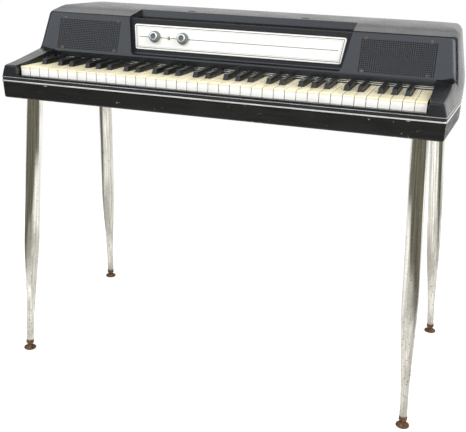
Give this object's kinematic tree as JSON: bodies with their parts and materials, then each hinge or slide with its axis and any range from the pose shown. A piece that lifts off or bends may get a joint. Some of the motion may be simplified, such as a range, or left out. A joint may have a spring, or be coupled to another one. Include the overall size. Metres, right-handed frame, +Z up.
{
  "type": "electric piano",
  "caption": "Portable electric piano with a moulded cover, speaker faces, two-knob panel and splayed chromed legs; keys, knobs and feet move.",
  "frame": {"origin": "on the floor, under the middle of the whole piano's bounding box", "axes": "+X to the player's right, +Y away from the player, +Z up"},
  "size_m": [1.021, 0.5484, 0.8503],
  "materials": {
    "cover": "satin black moulded cover, worn grey on its top",
    "paint": "glossy black paint with chipped edges",
    "bright_trim": "polished",
    "panel": "pale satin plate with thin dark border lines",
    "knob": "grey with a bright rim",
    "amber": "clear amber",
    "speaker": "dark paper cone in a steel basket",
    "timber": "bare",
    "aluminium": "mill finish",
    "steel": "plated",
    "rubber": "matte",
    "chrome": "worn and speckled",
    "rusted_steel": "rusted",
    "ivory": "wood with glossy cream key tops",
    "ebony": "wood with satin black caps"
  },
  "bodies": {
    "piano": {"case_bottom": "paint", "top_cover": "cover", "trim_band": "bright_trim", "key_stop_rail": "bright_trim", "control_panel": "panel", "pilot_lamp": "amber", "left_speaker": "speaker", "right_speaker": "speaker", "key_frame": "timber", "hammer_rail": "timber", "reed_bar": "aluminium", "damper_rail": "aluminium", "amplifier": "aluminium", "power_transformer": "steel", "pedal_socket": "steel", "cord_inlet": "rubber", "front_left_leg": "chrome", "rear_left_leg": "chrome", "front_right_leg": "chrome", "rear_right_leg": "chrome"},
    "volume_knob": {"volume_knob": "knob"},
    "vibrato_knob": {"vibrato_knob": "knob"},
    "front_left_glide": {"front_left_glide": "rusted_steel"},
    "rear_left_glide": {"rear_left_glide": "rusted_steel"},
    "front_right_glide": {"front_right_glide": "rusted_steel"},
    "rear_right_glide": {"rear_right_glide": "rusted_steel"},
    "low_keys": {"low_white_keys": "ivory", "low_sharp_keys": "ebony"},
    "high_keys": {"high_white_keys": "ivory", "high_sharp_keys": "ebony"},
    "key_c3": {"key_c3": "ivory"},
    "key_c_sharp3": {"key_c_sharp3": "ebony"},
    "key_d3": {"key_d3": "ivory"},
    "key_d_sharp3": {"key_d_sharp3": "ebony"},
    "key_e3": {"key_e3": "ivory"},
    "key_f3": {"key_f3": "ivory"},
    "key_f_sharp3": {"key_f_sharp3": "ebony"},
    "key_g3": {"key_g3": "ivory"},
    "key_g_sharp3": {"key_g_sharp3": "ebony"},
    "key_a3": {"key_a3": "ivory"},
    "key_a_sharp3": {"key_a_sharp3": "ebony"},
    "key_b3": {"key_b3": "ivory"},
    "key_c4": {"key_c4": "ivory"},
    "key_c_sharp4": {"key_c_sharp4": "ebony"},
    "key_d4": {"key_d4": "ivory"},
    "key_d_sharp4": {"key_d_sharp4": "ebony"},
    "key_e4": {"key_e4": "ivory"},
    "key_f4": {"key_f4": "ivory"},
    "key_f_sharp4": {"key_f_sharp4": "ebony"},
    "key_g4": {"key_g4": "ivory"},
    "key_g_sharp4": {"key_g_sharp4": "ebony"},
    "key_a4": {"key_a4": "ivory"},
    "key_a_sharp4": {"key_a_sharp4": "ebony"},
    "key_b4": {"key_b4": "ivory"},
    "key_c5": {"key_c5": "ivory"},
    "key_c_sharp5": {"key_c_sharp5": "ebony"},
    "key_d5": {"key_d5": "ivory"},
    "key_d_sharp5": {"key_d_sharp5": "ebony"},
    "key_e5": {"key_e5": "ivory"},
    "key_f5": {"key_f5": "ivory"}
  },
  "joints": [
    {"name": "volume_turn", "type": "hinge", "parent": "piano", "child": "volume_knob", "pos_m": [-0.197, -0.07747, 0.7895], "axis": [0, -0.975, 0.2223], "range_deg": [-150, 150]},
    {"name": "vibrato_turn", "type": "hinge", "parent": "piano", "child": "vibrato_knob", "pos_m": [-0.1274, -0.07747, 0.7895], "axis": [0, -0.975, 0.2223], "range_deg": [-150, 150]},
    {"name": "front_left_glide_swivel", "type": "hinge", "parent": "piano", "child": "front_left_glide", "pos_m": [-0.474, -0.23745, 0.008], "axis": [0, 0, 1], "continuous": true},
    {"name": "rear_left_glide_swivel", "type": "hinge", "parent": "piano", "child": "rear_left_glide", "pos_m": [-0.4955, 0.25915, 0.008], "axis": [0, 0, 1], "continuous": true},
    {"name": "front_right_glide_swivel", "type": "hinge", "parent": "piano", "child": "front_right_glide", "pos_m": [0.474, -0.23745, 0.008], "axis": [0, 0, 1], "continuous": true},
    {"name": "rear_right_glide_swivel", "type": "hinge", "parent": "piano", "child": "rear_right_glide", "pos_m": [0.4955, 0.25915, 0.008], "axis": [0, 0, 1], "continuous": true},
    {"name": "low_keys_press", "type": "hinge", "parent": "piano", "child": "low_keys", "pos_m": [-0.34075, -0.05485, 0.7027], "axis": [1, 0, 0], "range_deg": [0, 2.72], "stiffness_Nm_per_rad": 15, "springref_deg": -5.73},
    {"name": "high_keys_press", "type": "hinge", "parent": "piano", "child": "high_keys", "pos_m": [0.31725, -0.05485, 0.7027], "axis": [1, 0, 0], "range_deg": [0, 2.72], "stiffness_Nm_per_rad": 19, "springref_deg": -5.73},
    {"name": "key_c3_press", "type": "hinge", "parent": "piano", "child": "key_c3", "pos_m": [-0.22325, -0.05485, 0.7027], "axis": [1, 0, 0], "range_deg": [0, 2.72], "stiffness_Nm_per_rad": 1, "springref_deg": -5.73},
    {"name": "key_c_sharp3_press", "type": "hinge", "parent": "piano", "child": "key_c_sharp3", "pos_m": [-0.21399, -0.05485, 0.7027], "axis": [1, 0, 0], "range_deg": [0, 2.72], "stiffness_Nm_per_rad": 1, "springref_deg": -5.73},
    {"name": "key_d3_press", "type": "hinge", "parent": "piano", "child": "key_d3", "pos_m": [-0.19975, -0.05485, 0.7027], "axis": [1, 0, 0], "range_deg": [0, 2.72], "stiffness_Nm_per_rad": 1, "springref_deg": -5.73},
    {"name": "key_d_sharp3_press", "type": "hinge", "parent": "piano", "child": "key_d_sharp3", "pos_m": [-0.18551, -0.05485, 0.7027], "axis": [1, 0, 0], "range_deg": [0, 2.72], "stiffness_Nm_per_rad": 1, "springref_deg": -5.73},
    {"name": "key_e3_press", "type": "hinge", "parent": "piano", "child": "key_e3", "pos_m": [-0.17625, -0.05485, 0.7027], "axis": [1, 0, 0], "range_deg": [0, 2.72], "stiffness_Nm_per_rad": 1, "springref_deg": -5.73},
    {"name": "key_f3_press", "type": "hinge", "parent": "piano", "child": "key_f3", "pos_m": [-0.15275, -0.05485, 0.7027], "axis": [1, 0, 0], "range_deg": [0, 2.72], "stiffness_Nm_per_rad": 1, "springref_deg": -5.73},
    {"name": "key_f_sharp3_press", "type": "hinge", "parent": "piano", "child": "key_f_sharp3", "pos_m": [-0.14476, -0.05485, 0.7027], "axis": [1, 0, 0], "range_deg": [0, 2.72], "stiffness_Nm_per_rad": 1, "springref_deg": -5.73},
    {"name": "key_g3_press", "type": "hinge", "parent": "piano", "child": "key_g3", "pos_m": [-0.12925, -0.05485, 0.7027], "axis": [1, 0, 0], "range_deg": [0, 2.72], "stiffness_Nm_per_rad": 1, "springref_deg": -5.73},
    {"name": "key_g_sharp3_press", "type": "hinge", "parent": "piano", "child": "key_g_sharp3", "pos_m": [-0.1175, -0.05485, 0.7027], "axis": [1, 0, 0], "range_deg": [0, 2.72], "stiffness_Nm_per_rad": 1, "springref_deg": -5.73},
    {"name": "key_a3_press", "type": "hinge", "parent": "piano", "child": "key_a3", "pos_m": [-0.10575, -0.05485, 0.7027], "axis": [1, 0, 0], "range_deg": [0, 2.72], "stiffness_Nm_per_rad": 1, "springref_deg": -5.73},
    {"name": "key_a_sharp3_press", "type": "hinge", "parent": "piano", "child": "key_a_sharp3", "pos_m": [-0.09024, -0.05485, 0.7027], "axis": [1, 0, 0], "range_deg": [0, 2.72], "stiffness_Nm_per_rad": 1, "springref_deg": -5.73},
    {"name": "key_b3_press", "type": "hinge", "parent": "piano", "child": "key_b3", "pos_m": [-0.08225, -0.05485, 0.7027], "axis": [1, 0, 0], "range_deg": [0, 2.72], "stiffness_Nm_per_rad": 1, "springref_deg": -5.73},
    {"name": "key_c4_press", "type": "hinge", "parent": "piano", "child": "key_c4", "pos_m": [-0.05875, -0.05485, 0.7027], "axis": [1, 0, 0], "range_deg": [0, 2.72], "stiffness_Nm_per_rad": 1, "springref_deg": -5.73},
    {"name": "key_c_sharp4_press", "type": "hinge", "parent": "piano", "child": "key_c_sharp4", "pos_m": [-0.04949, -0.05485, 0.7027], "axis": [1, 0, 0], "range_deg": [0, 2.72], "stiffness_Nm_per_rad": 1, "springref_deg": -5.73},
    {"name": "key_d4_press", "type": "hinge", "parent": "piano", "child": "key_d4", "pos_m": [-0.03525, -0.05485, 0.7027], "axis": [1, 0, 0], "range_deg": [0, 2.72], "stiffness_Nm_per_rad": 1, "springref_deg": -5.73},
    {"name": "key_d_sharp4_press", "type": "hinge", "parent": "piano", "child": "key_d_sharp4", "pos_m": [-0.02101, -0.05485, 0.7027], "axis": [1, 0, 0], "range_deg": [0, 2.72], "stiffness_Nm_per_rad": 1, "springref_deg": -5.73},
    {"name": "key_e4_press", "type": "hinge", "parent": "piano", "child": "key_e4", "pos_m": [-0.01175, -0.05485, 0.7027], "axis": [1, 0, 0], "range_deg": [0, 2.72], "stiffness_Nm_per_rad": 1, "springref_deg": -5.73},
    {"name": "key_f4_press", "type": "hinge", "parent": "piano", "child": "key_f4", "pos_m": [0.01175, -0.05485, 0.7027], "axis": [1, 0, 0], "range_deg": [0, 2.72], "stiffness_Nm_per_rad": 1, "springref_deg": -5.73},
    {"name": "key_f_sharp4_press", "type": "hinge", "parent": "piano", "child": "key_f_sharp4", "pos_m": [0.01974, -0.05485, 0.7027], "axis": [1, 0, 0], "range_deg": [0, 2.72], "stiffness_Nm_per_rad": 1, "springref_deg": -5.73},
    {"name": "key_g4_press", "type": "hinge", "parent": "piano", "child": "key_g4", "pos_m": [0.03525, -0.05485, 0.7027], "axis": [1, 0, 0], "range_deg": [0, 2.72], "stiffness_Nm_per_rad": 1, "springref_deg": -5.73},
    {"name": "key_g_sharp4_press", "type": "hinge", "parent": "piano", "child": "key_g_sharp4", "pos_m": [0.047, -0.05485, 0.7027], "axis": [1, 0, 0], "range_deg": [0, 2.72], "stiffness_Nm_per_rad": 1, "springref_deg": -5.73},
    {"name": "key_a4_press", "type": "hinge", "parent": "piano", "child": "key_a4", "pos_m": [0.05875, -0.05485, 0.7027], "axis": [1, 0, 0], "range_deg": [0, 2.72], "stiffness_Nm_per_rad": 1, "springref_deg": -5.73},
    {"name": "key_a_sharp4_press", "type": "hinge", "parent": "piano", "child": "key_a_sharp4", "pos_m": [0.07426, -0.05485, 0.7027], "axis": [1, 0, 0], "range_deg": [0, 2.72], "stiffness_Nm_per_rad": 1, "springref_deg": -5.73},
    {"name": "key_b4_press", "type": "hinge", "parent": "piano", "child": "key_b4", "pos_m": [0.08225, -0.05485, 0.7027], "axis": [1, 0, 0], "range_deg": [0, 2.72], "stiffness_Nm_per_rad": 1, "springref_deg": -5.73},
    {"name": "key_c5_press", "type": "hinge", "parent": "piano", "child": "key_c5", "pos_m": [0.10575, -0.05485, 0.7027], "axis": [1, 0, 0], "range_deg": [0, 2.72], "stiffness_Nm_per_rad": 1, "springref_deg": -5.73},
    {"name": "key_c_sharp5_press", "type": "hinge", "parent": "piano", "child": "key_c_sharp5", "pos_m": [0.11501, -0.05485, 0.7027], "axis": [1, 0, 0], "range_deg": [0, 2.72], "stiffness_Nm_per_rad": 1, "springref_deg": -5.73},
    {"name": "key_d5_press", "type": "hinge", "parent": "piano", "child": "key_d5", "pos_m": [0.12925, -0.05485, 0.7027], "axis": [1, 0, 0], "range_deg": [0, 2.72], "stiffness_Nm_per_rad": 1, "springref_deg": -5.73},
    {"name": "key_d_sharp5_press", "type": "hinge", "parent": "piano", "child": "key_d_sharp5", "pos_m": [0.14349, -0.05485, 0.7027], "axis": [1, 0, 0], "range_deg": [0, 2.72], "stiffness_Nm_per_rad": 1, "springref_deg": -5.73},
    {"name": "key_e5_press", "type": "hinge", "parent": "piano", "child": "key_e5", "pos_m": [0.15275, -0.05485, 0.7027], "axis": [1, 0, 0], "range_deg": [0, 2.72], "stiffness_Nm_per_rad": 1, "springref_deg": -5.73},
    {"name": "key_f5_press", "type": "hinge", "parent": "piano", "child": "key_f5", "pos_m": [0.17625, -0.05485, 0.7027], "axis": [1, 0, 0], "range_deg": [0, 2.72], "stiffness_Nm_per_rad": 1, "springref_deg": -5.73}
  ]
}
